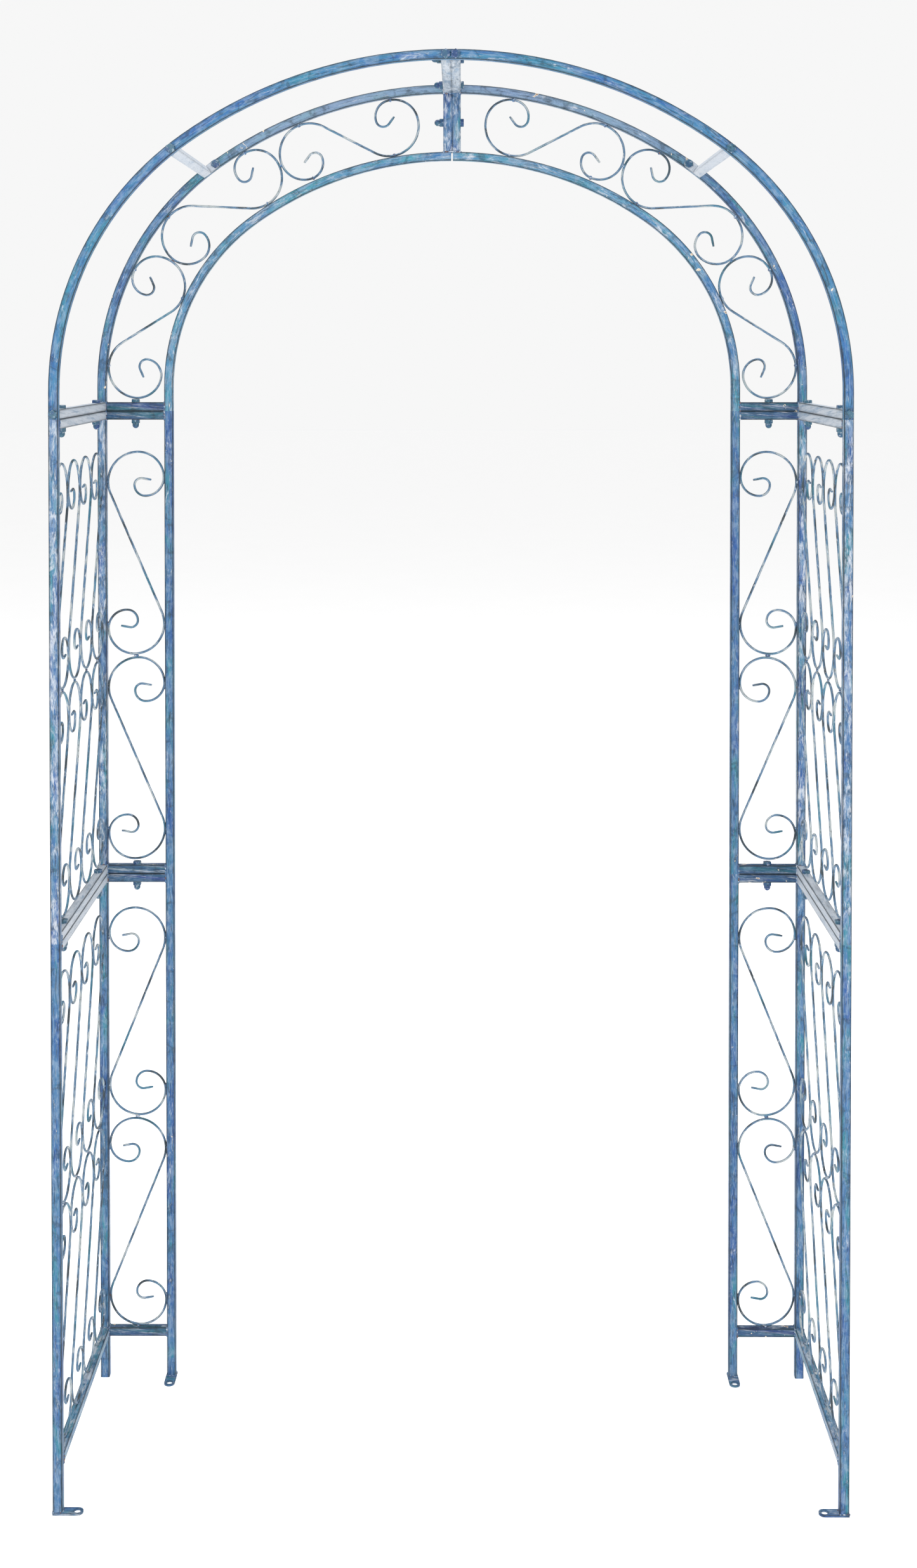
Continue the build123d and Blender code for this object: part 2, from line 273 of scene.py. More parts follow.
def flow_hoop(inward):
    """Place round a hoop's shoulder and crown arcs, then across it from its own middle."""
    shoulder, crown = SHOULDER - inward, CROWN - inward

    def build(graph):
        x, y, z = graph.add("ShaderNodeSeparateXYZ", {0: graph.object_place()}).outputs
        width = graph.math("ABSOLUTE", x)
        low_x = graph.math("SUBTRACT", width, SHOULDER_X)
        low_z = graph.math("SUBTRACT", z, SHOULDER_Z)
        high_z = graph.math("SUBTRACT", z, CROWN_Z)
        low_angle = graph.math("ARCTAN2", low_z, low_x)
        high_angle = graph.math("ARCTAN2", high_z, width)
        low_run = graph.math("MULTIPLY", low_angle, shoulder)
        past = graph.math("SUBTRACT", high_angle, SHOULDER_TURN)
        high_run = graph.math("MULTIPLY_ADD", past, crown, shoulder * SHOULDER_TURN)
        on_crown = graph.math("GREATER_THAN", low_angle, SHOULDER_TURN)
        run = choose(graph, on_crown, low_run, high_run)
        low_out = graph.math("SUBTRACT", radius_of(graph, low_x, low_z), shoulder)
        high_out = graph.math("SUBTRACT", radius_of(graph, width, high_z), crown)
        bent = choose(graph, on_crown, low_out, high_out)
        upright = graph.math("SUBTRACT", width, OUTER - inward)
        above = graph.math("GREATER_THAN", z, SHOULDER_Z)
        out = choose(graph, above, upright, bent)
        run = graph.math("MULTIPLY_ADD", graph.math("GREATER_THAN", x, 0.0), HOOP_SHIFT, run)
        return graph.vector(run, out, folded(graph, y, FRONT_ROW, REAR_ROW))

    return build


def radius_of(graph, x, z):
    """Distance from the origin of x and z."""
    square = graph.math("MULTIPLY", x, x)
    return graph.math("SQRT", graph.math("MULTIPLY_ADD", z, z, square))


def choose(graph, share, first, second):
    """The first value where the share is 0 and the second where it is 1."""
    step = graph.math("SUBTRACT", second, first)
    return graph.math("MULTIPLY_ADD", step, share, first)


def flow_attribute(graph):
    """Place along a swept wire or bead, stored on its mesh."""
    return graph.add("ShaderNodeAttribute", {}, attribute_name="flow").outputs["Vector"]


def edge_mask(graph, radius):
    """Where the surface turns a corner: 0 on flats and about 1 on edges."""
    rounded = graph.add("ShaderNodeBevel", {"Radius": radius}, samples=6).outputs[0]
    normal = graph.add("ShaderNodeNewGeometry", {}).outputs["Normal"]
    inputs = {0: rounded, 1: normal}
    match = graph.add("ShaderNodeVectorMath", inputs, operation="DOT_PRODUCT").outputs["Value"]
    return graph.between(match, 0.995, 0.86, 0.0, 1.0)


def finish_paint(graph, colour, roughness, height, bump):
    """Ends a paint with a slight relief and a satin coat."""
    inputs = {"Height": height, "Strength": bump, "Distance": 0.0006}
    normal = graph.add("ShaderNodeBump", inputs).outputs[0]
    inputs = {"Base Color": colour, "Roughness": roughness, "Normal": normal, "Specular IOR Level": 0.32}
    shader = graph.add("ShaderNodeBsdfPrincipled", inputs)
    graph.add("ShaderNodeOutputMaterial", {"Surface": shader.outputs[0]})
    return graph.material


def brushed_paint(
    name, flow, wash_and_sheen, pale, base=HUES, chips=0.3, edge=1.0, dark=0.6, square=True, bleach=0.0
):
    """Paint brushed along a tube, with painted shade on its edges and a few chips.

    Wash and sheen is how much of it is pale: worn pale by a cloth, and on the pale side rails and ties
    also a painted sheen. Pale is how strong the pale strokes are. Dark, edge, chips and bleach scale the
    dark strokes, the painted shade on the edges, chips and fading. A square tube's edges come from its
    place, any other piece's from its surface.
    """
    graph = Graph(name)
    place = flow(graph)
    around = graph.object_place()

    # Hues drift slowly along the tube, under fine strokes of the brush
    drift = graph.noise(place, (13, 60, 60), 3.0, 0.55, 0.6)
    colour = graph.mix(graph.between(drift, 0.34, 0.52), base[0], base[1])
    colour = graph.mix(graph.between(drift, 0.52, 0.68), colour, base[2])
    if bleach:
        height = graph.add("ShaderNodeSeparateXYZ", {0: around}).outputs["Z"]
        faded = graph.between(height, BLEACH_LOW, BLEACH_HIGH, 0.0, bleach)
        colour = graph.mix(faded, colour, LAVENDER)
    stroke = graph.noise(place, (46, 520, 520), 5.0, 0.66, 0.7)
    colour = graph.mix(graph.between(stroke, 0.46, 0.64, 0.0, pale), colour, LAVENDER)
    dark_stroke = graph.noise(place, (34, 400, 400), 4.0, 0.62, 0.6, 3.1)
    cloud = graph.noise(around, (48, 48, 48), 4.0, 0.6, 0.8, 6.2)
    colour = graph.mix(graph.between(cloud, 0.50, 0.66, 0.0, 0.7 * pale), colour, LAVENDER)
    colour = graph.mix(graph.between(cloud, 0.46, 0.34, 0.0, 0.75 * dark), colour, EDGE)
    colour = graph.mix(graph.between(dark_stroke, 0.50, 0.66, 0.0, dark), colour, EDGE)

    # Pale patches where a cloth wore the paint thin; on the side rails and ties they are also a painted
    # sheen
    patch = graph.noise(place, (24, 90, 90), 5.0, 0.64, 0.9, 5.3)
    broken = graph.noise(place, (120, 700, 700), 4.0, 0.66, 0.3, 1.7)
    cover = graph.math("MULTIPLY_ADD", broken, 0.6, patch)
    low = 1.06 - 0.5 * wash_and_sheen
    rubbed_and_sheen = graph.between(cover, low, low + 0.22, 0.0, 0.8)
    colour = graph.mix(rubbed_and_sheen, colour, WASH)
    fleck = graph.noise(place, (190, 800, 800), 2.0, 0.5, 0.0, 9.1)
    colour = graph.mix(graph.between(fleck, 0.70, 0.76, 0.0, 0.5), colour, WASH)

    # Painted shade along the edges, darkest on the corner itself
    uneven = graph.noise(place, (22, 90, 90), 3.0, 0.6, 0.0, 2.2)
    # The wide and narrow masks place the painted shade on the edges
    wide = tube_edge(graph, place, WIDE_EDGE_SHADE) if square else edge_mask(graph, WIDE_BEVEL)
    narrow = tube_edge(graph, place, NARROW_EDGE_SHADE) if square else edge_mask(graph, NARROW_BEVEL)
    broad_edge_shade = graph.math("MULTIPLY", wide, graph.between(uneven, 0.3, 0.6, 0.25, 0.6))
    colour = graph.mix(graph.math("MULTIPLY", broad_edge_shade, edge), colour, EDGE)
    colour = graph.mix(graph.math("MULTIPLY", narrow, edge), colour, EDGE)

    # Chips: a cream rim round a rusty middle
    spot = graph.noise(around, (64, 64, 64), 4.0, 0.6, 0.5, 4.4)
    low = 0.76 - 0.12 * chips
    colour = graph.mix(graph.between(spot, low, low + 0.015), colour, CREAM)
    colour = graph.mix(graph.between(spot, low + 0.03, low + 0.05), colour, RUST)

    roughness = graph.between(cover, 0.4, 0.9, 0.36, 0.58)
    height = graph.math("MULTIPLY_ADD", stroke, 0.6, graph.math("MULTIPLY", rubbed_and_sheen, 0.5))
    return finish_paint(graph, colour, roughness, height, 0.35)


def wire_paint(name):
    """Thin worn paint on wire: blue-grey, with dark and pale lengths."""
    graph = Graph(name)
    place = flow_attribute(graph)
    length = graph.noise(place, (26, 160, 160), 3.0, 0.6, 0.2)
    colour = graph.mix(graph.between(length, 0.38, 0.48), WIRE_DARK, WIRE_BLUE)
    colour = graph.mix(graph.between(length, 0.52, 0.60), colour, WIRE_PALE)
    broken = graph.noise(place, (110, 420, 420), 3.0, 0.6, 0.0, 3.0)
    colour = graph.mix(graph.between(broken, 0.60, 0.70, 0.0, 0.8), colour, WASH)
    colour = graph.mix(graph.between(broken, 0.42, 0.34, 0.0, 0.7), colour, WIRE_DARK)
    tint = graph.noise(place, (12, 60, 60), 2.0, 0.5, 0.0, 6.0)
    colour = graph.mix(graph.between(tint, 0.52, 0.66, 0.0, 0.5), colour, TEAL)
    roughness = graph.between(broken, 0.3, 0.7, 0.36, 0.55)
    return finish_paint(graph, colour, roughness, broken, 0.4)


def weld_paint(name):
    """Weld beads: painted over, rusty in the hollows and pale on the crests."""
    graph = Graph(name)
    place = graph.object_place()
    lump = graph.noise(place, (240, 240, 240), 3.0, 0.6, 0.3)
    colour = graph.mix(graph.between(lump, 0.36, 0.50), RUST, STEEL)
    colour = graph.mix(graph.between(lump, 0.52, 0.62), colour, WASH)
    grit = graph.noise(place, (900, 900, 900), 2.0, 0.6)
    colour = graph.mix(graph.between(grit, 0.42, 0.34, 0.0, 0.6), colour, EDGE)
    roughness = graph.between(lump, 0.3, 0.7, 0.6, 0.42)
    return finish_paint(graph, colour, roughness, grit, 0.6)


def bolt_paint(name):
    """Cobalt enamel on bolts and nuts, worn pale on the corners."""
    graph = Graph(name)
    place = graph.object_place()
    tone = graph.noise(place, (60, 60, 60), 3.0, 0.6)
    colour = graph.mix(graph.between(tone, 0.36, 0.60), srgb(36, 66, 112), srgb(54, 94, 114))
    worn = graph.noise(place, (230, 230, 230), 4.0, 0.65, 0.4, 2.0)
    corner = edge_mask(graph, 0.0012)
    wear = graph.math("MULTIPLY_ADD", corner, 0.12, worn)
    colour = graph.mix(graph.between(wear, 0.58, 0.68, 0.0, 0.7), colour, WASH)
    dirt = graph.between(worn, 0.44, 0.34, 0.0, 0.8)
    colour = graph.mix(dirt, colour, EDGE)
    roughness = graph.between(worn, 0.3, 0.7, 0.3, 0.5)
    return finish_paint(graph, colour, roughness, worn, 0.25)


def zinc(name):
    """Bright zinc plating on the inserts inside the ties."""
    graph = Graph(name)
    grain = graph.noise(graph.object_place(), (900, 900, 900), 3.0, 0.6)
    colour = graph.mix(grain, srgb(150, 152, 156), srgb(196, 198, 202))
    inputs = {"Base Color": colour, "Metallic": 1.0, "Roughness": 0.38}
    shader = graph.add("ShaderNodeBsdfPrincipled", inputs)
    graph.add("ShaderNodeOutputMaterial", {"Surface": shader.outputs[0]})
    return graph.material


POST_PAINT = brushed_paint("post_paint", flow_post, 0.36, 0.55)
UPPER_POST_PAINT = brushed_paint("upper_post_paint", flow_post, 0.60, 0.75)
CROWN_BAR_PAINT = brushed_paint("crown_bar_paint", flow_along("Z"), 0.6, 0.5, square=False)
BACK_RAIL_PAINT = brushed_paint("back_rail_paint", flow_back_rail, 0.48, 0.25, DARK_HUES, chips=0.9)
# Side rails are painted paler, with fewer dark strokes: partly a real wash and partly a painted sheen
SIDE_RAIL_PAINT = brushed_paint(
    "side_rail_paint", flow_side_rail, 0.8, 0.6, SHEEN_AND_WASH_HUES, chips=0, edge=0.9, dark=0.25
)
LOW_RAIL_PAINT = brushed_paint(
    "low_rail_paint", flow_side_rail, 0.62, 0.8, SKY_HUES, chips=0, edge=0.8
)
# Ties are painted paler, with fewer dark strokes: partly a real wash and partly a painted sheen
TIE_PAINT = brushed_paint(
    "tie_paint", flow_along("Y"), 1.0, 0.5, SHEEN_AND_WASH_HUES, chips=0, edge=0.4, dark=0.08, square=False
)
CROWN_TIE_PAINT = brushed_paint(
    "crown_tie_paint", flow_along("Y"), 0.5, 0.3, GREY_HUES, chips=0, dark=0.4, square=False
)
REAR_HOOP_PAINT = brushed_paint("rear_hoop_paint", flow_hoop(0), 0.4, 0.5, chips=0.8, bleach=0.6)
INNER_HOOP_PAINT = brushed_paint(
    "inner_hoop_paint", flow_hoop(OUTER - INNER), 0.5, 0.75, SKY_HUES, chips=0.7
)
FRONT_HOOP_PAINT = brushed_paint("front_hoop_paint", flow_hoop(0), 0.34, 0.5, AZURE_HUES)
PLATE_PAINT = brushed_paint("plate_paint", flow_along("X"), 0.5, 0.4, square=False)
WIRE_PAINT = wire_paint("wire_paint")
WELD_PAINT = weld_paint("weld_paint")
BOLT_PAINT = bolt_paint("bolt_paint")
ZINC = zinc("zinc_plate")


def cad_paint(node):
    """The paint for a CAD node: the first ending that fits its name, else the bolts' paint."""
    kinds = (
        ("_upper_front_post", UPPER_POST_PAINT),
        ("_upper_rear_post", UPPER_POST_PAINT),
        ("_post", POST_PAINT),
        ("_crown_bar", CROWN_BAR_PAINT),
        ("front_hoop", FRONT_HOOP_PAINT),
        ("inner_hoop", INNER_HOOP_PAINT),
        ("_hoop", REAR_HOOP_PAINT),
        ("base_tie", SIDE_RAIL_PAINT),
        ("crown_tie", CROWN_TIE_PAINT),
        ("_tie", TIE_PAINT),
        ("_side_top_rail", SIDE_RAIL_PAINT),
        ("_lower_side_bottom_rail", LOW_RAIL_PAINT),
        ("_side_bottom_rail", SIDE_RAIL_PAINT),
        ("_rail", BACK_RAIL_PAINT),
        ("_base_bar", BACK_RAIL_PAINT),
        ("foot_plates", PLATE_PAINT),
        ("inserts", ZINC),
    )
    for ending, paint in kinds:
        if node.endswith(ending):
            return paint
    return BOLT_PAINT


def paint_cad_nodes():
    for node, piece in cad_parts.items():
        paint = cad_paint(node)
        if not piece.material_slots:
            piece.data.materials.append(paint)
        for slot in piece.material_slots:
            slot.material = paint


# Meshes --------------------------------------------------------------------

# Weld lumps: rings, sides, and how far a point may stray from the smooth shape
LUMP_RINGS = 6
LUMP_SIDES = 10
LUMP_SWELL = 0.14


def mesh_piece(name, vertices, faces, paint, flow=None):
    """A smooth piece on the arch's body, with its place along the metal stored on it."""
    mesh = bpy.data.meshes.new(name)
    mesh.from_pydata(vertices, [], faces)
    mesh.update()
    for polygon in mesh.polygons:
        polygon.use_smooth = True
    if flow:
        layer = mesh.attributes.new("flow", "FLOAT_VECTOR", "POINT")
        layer.data.foreach_set("vector", [number for entry in flow for number in entry])
    mesh.materials.append(paint)
    piece = bpy.data.objects.new(name, mesh)
    bpy.context.scene.collection.objects.link(piece)
    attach(piece, "root")
    return piece


class Heap:
    """Vertices, faces and flow of several closed bodies that share one mesh."""

    def __init__(self):
        self.vertices = []
        self.faces = []
        self.flow = []

    def tube(self, line, normal, radius_at, sides, start=0.0, closed=False):
        """Sweeps a round section along a line that lies in a plane with this normal."""
        first = len(self.vertices)
        count = len(line)
        run = start
        for index, point in enumerate(line):
            before = line[index - 1] if index or closed else point
            after = line[(index + 1) % count] if index + 1 < count or closed else point
            along = (after - before).normalized()
            side = along.cross(normal)
            if index:
                run += (point - line[index - 1]).length
            radius = radius_at(index)
            for turn in range(sides):
                angle = math.tau * turn / sides
                offset = side * (math.cos(angle) * radius) + normal * (math.sin(angle) * radius)
                self.vertices.append(point + offset)
                self.flow.append((run, math.cos(angle) * radius, math.sin(angle) * radius))
        last_ring = count if closed else count - 1
        for ring in range(last_ring):
            for turn in range(sides):
                here = first + ring * sides
                there = first + ((ring + 1) % count) * sides
                step = (turn + 1) % sides
                self.faces.append((here + turn, there + turn, there + step, here + step))
        if not closed:
            self.faces.append([first + turn for turn in range(sides)])
            final = first + (count - 1) * sides
            self.faces.append([final + turn for turn in reversed(range(sides))])

    def lump(self, centre, size, draw):
        """A small irregular blob of weld metal."""
        first = len(self.vertices)
        self.vertices.append(centre + Vector((0, 0, size[2])))
        for ring in range(1, LUMP_RINGS):
            tilt = math.pi * ring / LUMP_RINGS
            for turn in range(LUMP_SIDES):
                angle = math.tau * turn / LUMP_SIDES
                swell = 1 + draw.uniform(-LUMP_SWELL, LUMP_SWELL)
                x = math.sin(tilt) * math.cos(angle) * size[0] * swell
                y = math.sin(tilt) * math.sin(angle) * size[1] * swell
                z = math.cos(tilt) * size[2] * swell
                self.vertices.append(centre + Vector((x, y, z)))
        self.vertices.append(centre - Vector((0, 0, size[2])))
        last = len(self.vertices) - 1
        base = first + 1 + (LUMP_RINGS - 2) * LUMP_SIDES
        for turn in range(LUMP_SIDES):
            step = (turn + 1) % LUMP_SIDES
            self.faces.append((first, first + 1 + turn, first + 1 + step))
            self.faces.append((base + turn, last, base + step))
            for ring in range(LUMP_RINGS - 2):
                here = first + 1 + ring * LUMP_SIDES
                there = here + LUMP_SIDES
                self.faces.append((here + turn, there + turn, there + step, here + step))


# Scrolls -------------------------------------------------------------------


def turned_arc(point, heading, radius, turn):
    """Points along an arc that turns left, and the point and heading at its end."""
    centre = point + radius * Vector((-math.sin(heading), math.cos(heading)))
    steps = max(2, math.ceil(turn / ARC_STEP))
    points = []
    for step in range(1, steps + 1):
        now = heading + turn * step / steps
        points.append(centre + radius * Vector((math.sin(now), -math.cos(now))))
    return points, points[-1], heading + turn


def scroll_line(height, loop, lean, end_turn, tail):
    """An S from one tail to the other, centred on 0, its stem rising to the right."""
    drop = height / 2 - loop[0] - WIRE_RADIUS
    reach = math.hypot(drop, lean)
    slope = math.asin(loop[0] / reach) - math.atan2(lean, drop)
    half_stem = math.sqrt(reach**2 - loop[0] ** 2)
    point = Vector((-half_stem * math.sin(slope), -half_stem * math.cos(slope)))
    heading = -math.pi / 2 - slope
    half = [point * (share / 4) for share in range(1, 5)]
    turn = math.pi / 2 + slope
    for radius in loop:
        points, point, heading = turned_arc(point, heading, radius, turn)
        half += points
        turn = math.pi / 2
    points, point, heading = turned_arc(point, heading, loop[-1], end_turn)
    half += points
    end = point + tail * Vector((math.cos(heading), math.sin(heading)))
    half += [point.lerp(end, share / 3) for share in (1, 2, 3)]
    other = [-spot for spot in half]
    return other[::-1] + [Vector((0, 0))] + half


def wire_radius(count):
    """Full thickness all along, with slightly rounded cut ends."""

    def radius_at(index):
        return WIRE_RADIUS * (CUT_END if index in (0, count - 1) else 1)

    return radius_at


def placed(place, spot):
    """A point of a scroll's flat line, stood up and put in its place."""
    return place @ Vector((spot.x, 0, spot.y))


def scroll_node(node, line, placements, normal):
    """All the scrolls of one CAD node, as smooth wire."""
    heap = Heap()
    for index, placement in enumerate(placements):
        points = [placed(placement, spot) for spot in line]
        radius_at = wire_radius(len(points))
        start = SCROLL_SHIFT * index + PANEL_SHIFT * len(node)
        heap.tube(points, normal, radius_at, WIRE_SIDES, start)
    name = f"{node}_wire"
    piece = mesh_piece(name, heap.vertices, heap.faces, WIRE_PAINT, heap.flow)
    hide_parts(node)


def scroll_centres(level):
    """Heights of the two scrolls in a panel, and their length."""
    low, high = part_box(f"right_{level}_side_scrolls")
    length = (high[2] - low[2] - SCROLL_GAP) / 2
    lower_centre = low[2] + length / 2
    return length, (lower_centre, lower_centre + length + SCROLL_GAP)


def panel_columns():
    """Places from front to back of a side panel's four columns of scrolls."""
    return [TIE_FRONT + PANEL * (column + 0.5) for column in range(COLUMNS)]


def panel_scrolls():
    """The scrolls of all side and back panels; the lower back ones lean the other way."""
    for level in LEVELS:
        length, heights = scroll_centres(level)
        line = scroll_line(length, PANEL_LOOP, PANEL_LEAN, PANEL_END_TURN, PANEL_TAIL)
        for name, side in SIDES.items():
            quarter = Matrix.Rotation(math.pi / 2, 4, "Z")
            spots = [(side * OUTER, y, z) for y in panel_columns() for z in heights]
            places = [Matrix.Translation(spot) @ quarter for spot in spots]
            scroll_node(f"{name}_{level}_side_scrolls", line, places, Vector((1, 0, 0)))
            lean = -side if level == "lower" else side
            flip = Matrix.Scale(-1, 4, (1, 0, 0)) if lean < 0 else Matrix.Identity(4)
            middle = side * (OUTER + INNER) / 2
            places = [Matrix.Translation((middle, REAR_ROW, z)) @ flip for z in heights]
            scroll_node(f"{name}_{level}_back_scrolls", line, places, Vector((0, 1, 0)))


def ring_place(distance, inset, tilt):
    """Placement of a scroll at a distance along the ring on the right side."""
    half_offset = (OUTER - INNER) / 2
    shoulder_end = STRAIGHT + (SHOULDER - half_offset) * SHOULDER_TURN
    if distance < shoulder_end:
        radius = SHOULDER - half_offset
        turn = (distance - STRAIGHT) / radius
        x, z = SHOULDER_X, SHOULDER_Z
    else:
        radius = CROWN - half_offset
        turn = SHOULDER_TURN + (distance - shoulder_end) / radius
        x, z = 0, CROWN_Z
    x += (radius - inset) * math.cos(turn)
    z += (radius - inset) * math.sin(turn)
    spin = Matrix.Rotation(-turn - math.radians(tilt), 4, "Y")
    return Matrix.Translation((x, REAR_ROW, z)) @ spin


def arch_places(side):
    """Placements of the three scrolls of one arch quarter."""
    mirror = Matrix.Scale(-1, 4, (1, 0, 0))
    places = []
    for index, (inset, tilt) in enumerate(zip(ARCH_INSET, ARCH_TILT)):
        place = ring_place(ARCH_START + index * ARCH_PITCH, inset, tilt) @ mirror
        places.append(place if side > 0 else mirror @ place)
    return places


def arch_scrolls():
    line = scroll_line(ARCH_SCROLL, ARCH_LOOP, 0, ARCH_END_TURN, ARCH_TAIL)
    for name, side in SIDES.items():
        scroll_node(f"{name}_arch_scrolls", line, arch_places(side), Vector((0, 1, 0)))


# Welds ---------------------------------------------------------------------

# Beads: radius, its smallest and largest share, sides of the section, steps along each tube side
BEAD = 0.0013
BEAD_SPREAD = (0.55, 1.25)
BEAD_SIDES = 8
BEAD_STEPS = 9
CORNERS = ((1, 1), (-1, 1), (-1, -1), (1, -1))

# Spots: half sizes in metres, depth in the post, and how far off a hoop still counts as touching
POST_SPOT = (0.0022, 0.0022, 0.0034)
SIDE_SPOT = (0.0020, 0.0042, 0.0026)
BACK_SPOT = (0.0042, 0.0020, 0.0026)
HOOP_SPOT = (0.0034, 0.0022, 0.0034)
JOIN_SPOT = (0.0030, 0.0022, 0.0030)
SPOT_SINK = 0.0008
HOOP_REACH = 0.006

PANEL_SEED = 11
ARCH_SEED = 23
FOOT_SEED = 37


def collar(heap, centre, axis, draw):
    """A lumpy bead round a square tube's end where it meets another face."""
    axis = Vector(axis)
    across = Vector((0, 0, 1)) if abs(axis.z) < 0.5 else Vector((1, 0, 0))
    up = axis.cross(across)
    line = []
    for index, (a, b) in enumerate(CORNERS):
        c, d = CORNERS[(index + 1) % 4]
        for step in range(BEAD_STEPS):
            share = (step + 0.5) / BEAD_STEPS
            u = (a + (c - a) * share) * HALF_TUBE
            v = (b + (d - b) * share) * HALF_TUBE
            line.append(Vector(centre) + across * u + up * v)
    radii = [BEAD * draw.uniform(*BEAD_SPREAD) for _ in line]
    heap.tube(line, axis, lambda index: radii[index], BEAD_SIDES, closed=True)


def panel_welds():
    """Beads at the rails' ends and spots where the scrolls touch, one mesh per leg unit."""
    draw = random.Random(PANEL_SEED)
    for name, side in SIDES.items():
        outer, inner = side * OUTER, side * INNER
        for level, (base, top) in LEVELS.items():
            heap = Heap()
            for z in (base + HALF_TUBE, top - HALF_TUBE):
                collar(heap, (outer, TIE_FRONT, z), (0, 1, 0), draw)
                collar(heap, (outer, TIE_REAR, z), (0, 1, 0), draw)
                collar(heap, (outer - side * HALF_TUBE, REAR_ROW, z), (1, 0, 0), draw)
                collar(heap, (inner + side * HALF_TUBE, REAR_ROW, z), (1, 0, 0), draw)
            length, heights = scroll_centres(level)
            spots(heap, side, level, length, heights, draw)
            mesh_piece(
                f"{name}_{level}_welds", heap.vertices, heap.faces, WELD_PAINT
            )


def spots(heap, side, level, length, heights, draw):
    """Weld spots of a unit's scrolls: on the posts, on each other and on the rails."""
    reach = length / 2 - PANEL_LOOP[0] - WIRE_RADIUS
    columns = panel_columns()
    middle = side * (OUTER + INNER) / 2
    join = (heights[0] + heights[1]) / 2
    for z in heights:
        for share in (-1, 1):
            for edge in range(COLUMNS + 1):
                y = TIE_FRONT + PANEL * edge
                heap.lump(Vector((side * OUTER, y, z + share * reach)), POST_SPOT, draw)
            for end in (-1, 1):
                x = middle + end * (PANEL / 2 - SPOT_SINK)
                heap.lump(Vector((x, REAR_ROW, z + share * reach)), POST_SPOT, draw)
    rail_top = LEVELS[level][0] + TUBE
    low = heights[0] - length / 2
    for z in (join, (rail_top + low) / 2):
        if level == "upper" and z < join:
            continue
        for y in columns:
            heap.lump(Vector((side * OUTER, y, z)), SIDE_SPOT, draw)
        heap.lump(Vector((middle, REAR_ROW, z)), BACK_SPOT, draw)


def contact_spots(heap, line, places, draw):
    """Spots where an arch scroll comes nearest to each of the two hoops."""
    half_offset = (OUTER - INNER) / 2
    for place in places:
        best = {}
        for spot in line:
            point = placed(place, spot)
            across = abs(point.x)
            turn = math.atan2(point.z - SHOULDER_Z, across - SHOULDER_X)
            if point.z < SHOULDER_Z:
                out = across - OUTER
            elif turn < SHOULDER_TURN:
                out = math.hypot(across - SHOULDER_X, point.z - SHOULDER_Z) - SHOULDER
            else:
                out = math.hypot(across, point.z - CROWN_Z) - CROWN
            out += half_offset
            # Each loop touches a hoop: the near half and the far half of the S apart
            half = "up" if spot.y > 0 else "down"
            for way in (-1, 1):
                key = (half, way)
                if key not in best or out * way > best[key][0]:
                    best[key] = (out * way, point)
        for gap, point in best.values():
            if gap > PANEL / 2 - HOOP_REACH:
                heap.lump(point, HOOP_SPOT, draw)


def arch_welds():
    """Beads at the ends of the bars and ties, and spots where the arch scrolls touch."""
    draw = random.Random(ARCH_SEED)
    line = scroll_line(ARCH_SCROLL, ARCH_LOOP, 0, ARCH_END_TURN, ARCH_TAIL)
    for name, side in SIDES.items():
        heap = Heap()
        bar = SPRINGING + HALF_TUBE
        collar(heap, (side * (OUTER - HALF_TUBE), REAR_ROW, bar), (1, 0, 0), draw)
        collar(heap, (side * (INNER + HALF_TUBE), REAR_ROW, bar), (1, 0, 0), draw)
        collar(heap, (side * OUTER, TIE_REAR, bar), (0, 1, 0), draw)
        crown_low, crown_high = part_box(f"{name}_crown_bar")
        middle = side * HALF_TUBE
        collar(heap, (middle, REAR_ROW, crown_low[2]), (0, 0, 1), draw)
        collar(heap, (middle, REAR_ROW, crown_high[2]), (0, 0, 1), draw)
        collar(heap, (middle, TIE_REAR, crown_high[2] + HALF_TUBE), (0, 1, 0), draw)
        places = arch_places(side)
        contact_spots(heap, line, places, draw)
        for first, second in zip(places, places[1:]):
            pairs = ((placed(first, a), placed(second, b)) for a in line for b in line)
            a, b = min(pairs, key=lambda pair: (pair[0] - pair[1]).length)
            heap.lump((a + b) / 2, JOIN_SPOT, draw)
        mesh_piece(f"{name}_arch_welds", heap.vertices, heap.faces, WELD_PAINT)


def foot_welds():
    """Beads where the posts stand on their plates."""
    draw = random.Random(FOOT_SEED)
    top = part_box("foot_plates")[1][2]
    heap = Heap()
    for side in SIDES.values():
        collar(heap, (side * OUTER, FRONT_ROW, top), (0, 0, 1), draw)
        collar(heap, (side * INNER, REAR_ROW, top), (0, 0, 1), draw)
    mesh_piece("foot_welds", heap.vertices, heap.faces, WELD_PAINT)


# Room, light and camera ----------------------------------------------------

# Strength of the backdrop as light and as seen; the glow lifts the floor to the same white,
# so that no horizon shows
BACKDROP_LIGHT = 0.47
BACKDROP_SEEN = 0.93
FLOOR_GLOW = 0.515
FLOOR_REACH = 40
FLOOR_SIDES = 96


def make_floor():
    """A wide, plain, pale disc."""
    graph = Graph("floor_paper")
    grain = graph.noise(graph.object_place(), (3, 3, 3), 2.0, 0.5)
    colour = graph.mix(grain, (0.86, 0.86, 0.86, 1), (0.90, 0.90, 0.90, 1))
    glow = {"Emission Color": (1, 1, 1, 1), "Emission Strength": FLOOR_GLOW}
    inputs = {"Base Color": colour, "Roughness": 0.9, **glow}
    shader = graph.add("ShaderNodeBsdfPrincipled", inputs)
    graph.add("ShaderNodeOutputMaterial", {"Surface": shader.outputs[0]})
    angles = [math.tau * turn / FLOOR_SIDES for turn in range(FLOOR_SIDES)]
    rim = [(FLOOR_REACH * math.cos(angle), FLOOR_REACH * math.sin(angle), 0) for angle in angles]
    mesh = bpy.data.meshes.new("floor")
    mesh.from_pydata(rim, [], [list(range(FLOOR_SIDES))])
    mesh.materials.append(graph.material)
    floor = bpy.data.objects.new("floor", mesh)
    bpy.context.scene.collection.objects.link(floor)


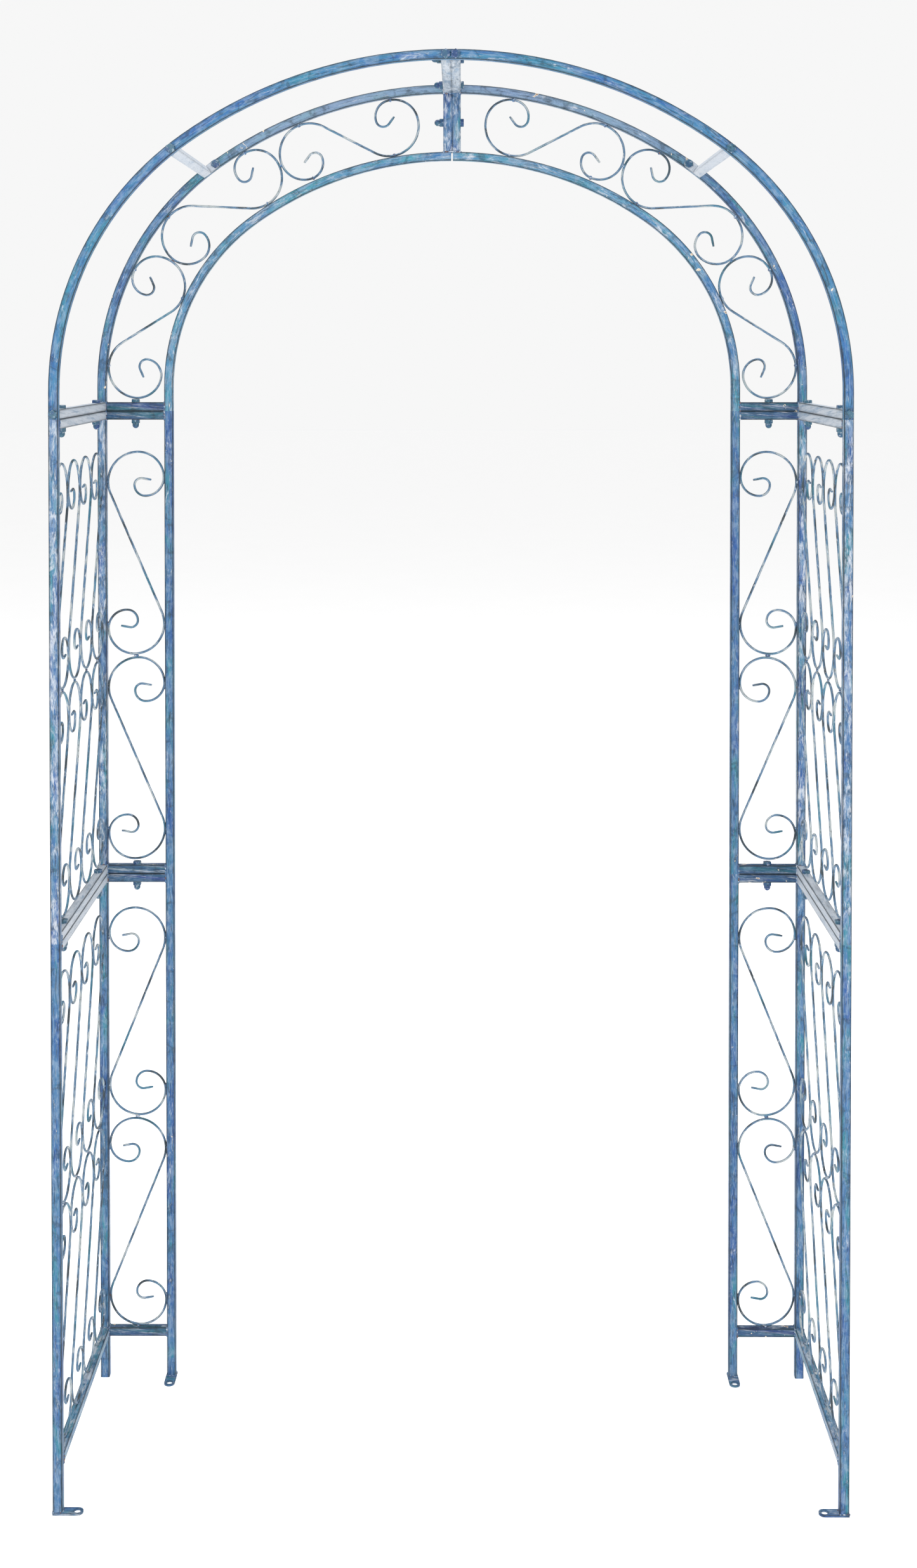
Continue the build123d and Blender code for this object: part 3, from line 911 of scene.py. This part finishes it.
def area_light(name, place, target, size, power):
    """A round soft lamp turned to its target."""
    light = bpy.data.lights.new(name, "AREA")
    light.shape = "DISK"
    light.size = size
    light.energy = power
    lamp = bpy.data.objects.new(name, light)
    bpy.context.scene.collection.objects.link(lamp)
    lamp.location = place
    lamp.rotation_euler = (Vector(target) - Vector(place)).to_track_quat("-Z", "Y").to_euler()


def make_light():
    """A white backdrop all round, dimmer as light than as background, and three soft lamps."""
    world = bpy.data.worlds.new("studio")
    bpy.context.scene.world = world
    world.use_nodes = True
    tree = world.node_tree
    seen = tree.nodes.new("ShaderNodeLightPath").outputs["Is Camera Ray"]
    strength = tree.nodes.new("ShaderNodeMapRange")
    strength.inputs["To Min"].default_value = BACKDROP_LIGHT
    strength.inputs["To Max"].default_value = BACKDROP_SEEN
    tree.links.new(seen, strength.inputs["Value"])
    background = tree.nodes["Background"]
    background.inputs["Color"].default_value = (1, 1, 1, 1)
    tree.links.new(strength.outputs[0], background.inputs["Strength"])
    area_light("key", (-1.6, -4.4, 2.6), target=(0, 0, 1.2), size=2.6, power=110)
    area_light("fill", (2.4, -4.0, 1.4), target=(0, 0, 1.1), size=2.6, power=60)
    area_light("top", (0, 1.2, 6.5), target=(0, 1.0, 0), size=4.0, power=260)


# Camera: level with the springing, close enough to see the side panels at a slant
CAMERA_PLACE = (0.0167, -3.2801, 1.7903)
CAMERA_TILT = 1.207
CAMERA_TURN = 0.237
CAMERA_LENS = 46.43
CAMERA_SHIFT = (0.0033, -0.2516)


def make_camera():
    data = bpy.data.cameras.new("camera")
    data.lens = CAMERA_LENS
    data.sensor_width = 36
    data.shift_x, data.shift_y = CAMERA_SHIFT
    camera = bpy.data.objects.new("camera", data)
    bpy.context.scene.collection.objects.link(camera)
    camera.location = CAMERA_PLACE
    camera.rotation_euler = (math.radians(90 - CAMERA_TILT), 0, math.radians(CAMERA_TURN))
    bpy.context.scene.camera = camera


paint_cad_nodes()
panel_scrolls()
arch_scrolls()
panel_welds()
arch_welds()
foot_welds()
make_floor()
make_light()
make_camera()
bpy.context.scene.view_settings.view_transform = "Standard"
